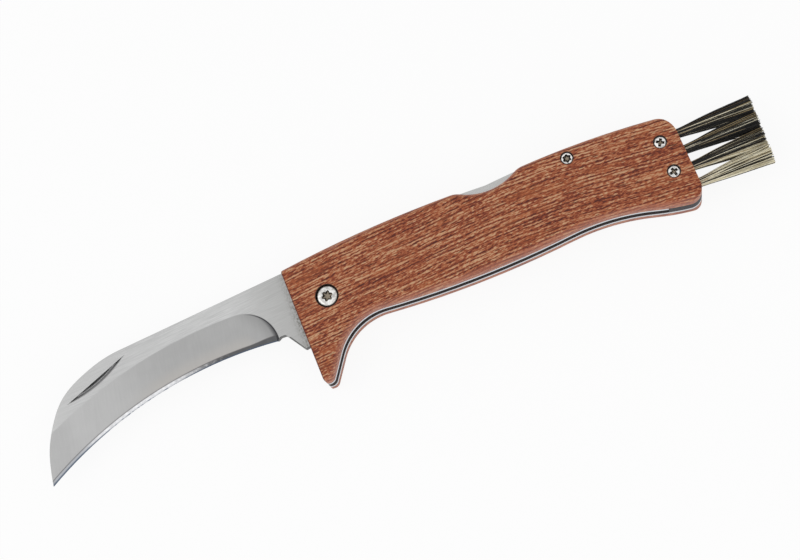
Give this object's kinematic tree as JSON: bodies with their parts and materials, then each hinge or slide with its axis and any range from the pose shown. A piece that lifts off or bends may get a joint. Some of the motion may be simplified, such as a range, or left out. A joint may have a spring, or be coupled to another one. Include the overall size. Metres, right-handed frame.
{
  "type": "folding mushroom knife",
  "caption": "Folding mushroom knife with a curved blade, back lock, wooden handle scales and a bristle brush in the rear end.",
  "frame": {"origin": "on the blade's pivot axis, in the plane of the back scale's outer face", "axes": "+X along the handle towards the brush, +Y towards the spine of the open blade, +Z out of the front scale; the knife lies on its back scale"},
  "size_m": [0.2187, 0.04, 0.0128],
  "materials": {
    "scale_wood": "oiled reddish-brown hardwood with dark streaks along the handle",
    "liner_steel": "bright polished edge",
    "blade_steel": "satin flats and a finer ground bevel",
    "washer_bronze": "plain",
    "lock_steel": "bright satin",
    "block_plastic": "matt moulded",
    "fastener_steel": "bright, blackened in the recesses",
    "bristle_blond": "natural bristle, mostly straw with dark hairs",
    "bristle_mixed": "natural bristle, straw and black mixed",
    "bristle_dark": "natural bristle, mostly black with straw hairs"
  },
  "bodies": {
    "handle": {"scale_front": "scale_wood", "scale_back": "scale_wood", "liner_front": "liner_steel", "liner_back": "liner_steel", "washer_front": "washer_bronze", "washer_back": "washer_bronze", "lock_bar_pin": "lock_steel", "lock_spring": "lock_steel", "back_spacer": "block_plastic", "brush_block": "block_plastic", "tuft_anchors": "fastener_steel", "bristle_tuft_1": "bristle_blond", "bristle_tuft_2": "bristle_mixed", "bristle_tuft_3": "bristle_dark", "bristle_tuft_4": "bristle_dark", "pivot_barrel": "fastener_steel", "pivot_screw": "fastener_steel", "spacer_barrel": "fastener_steel", "spacer_screw": "fastener_steel", "brush_upper_barrel": "fastener_steel", "brush_upper_screw": "fastener_steel", "brush_lower_barrel": "fastener_steel", "brush_lower_screw": "fastener_steel"},
    "blade": {"blade": "blade_steel"},
    "lock_bar": {"lock_bar": "lock_steel"}
  },
  "joints": [
    {"name": "blade_fold", "type": "hinge", "parent": "handle", "child": "blade", "pos_m": [0, 0, 0.0064], "axis": [0, 0, 1], "range_deg": [0, 172]},
    {"name": "lock_bar_rock", "type": "hinge", "parent": "handle", "child": "lock_bar", "pos_m": [0.0385, 0.012, 0.0064], "axis": [0, 0, 1], "range_deg": [0, 2.2]}
  ]
}
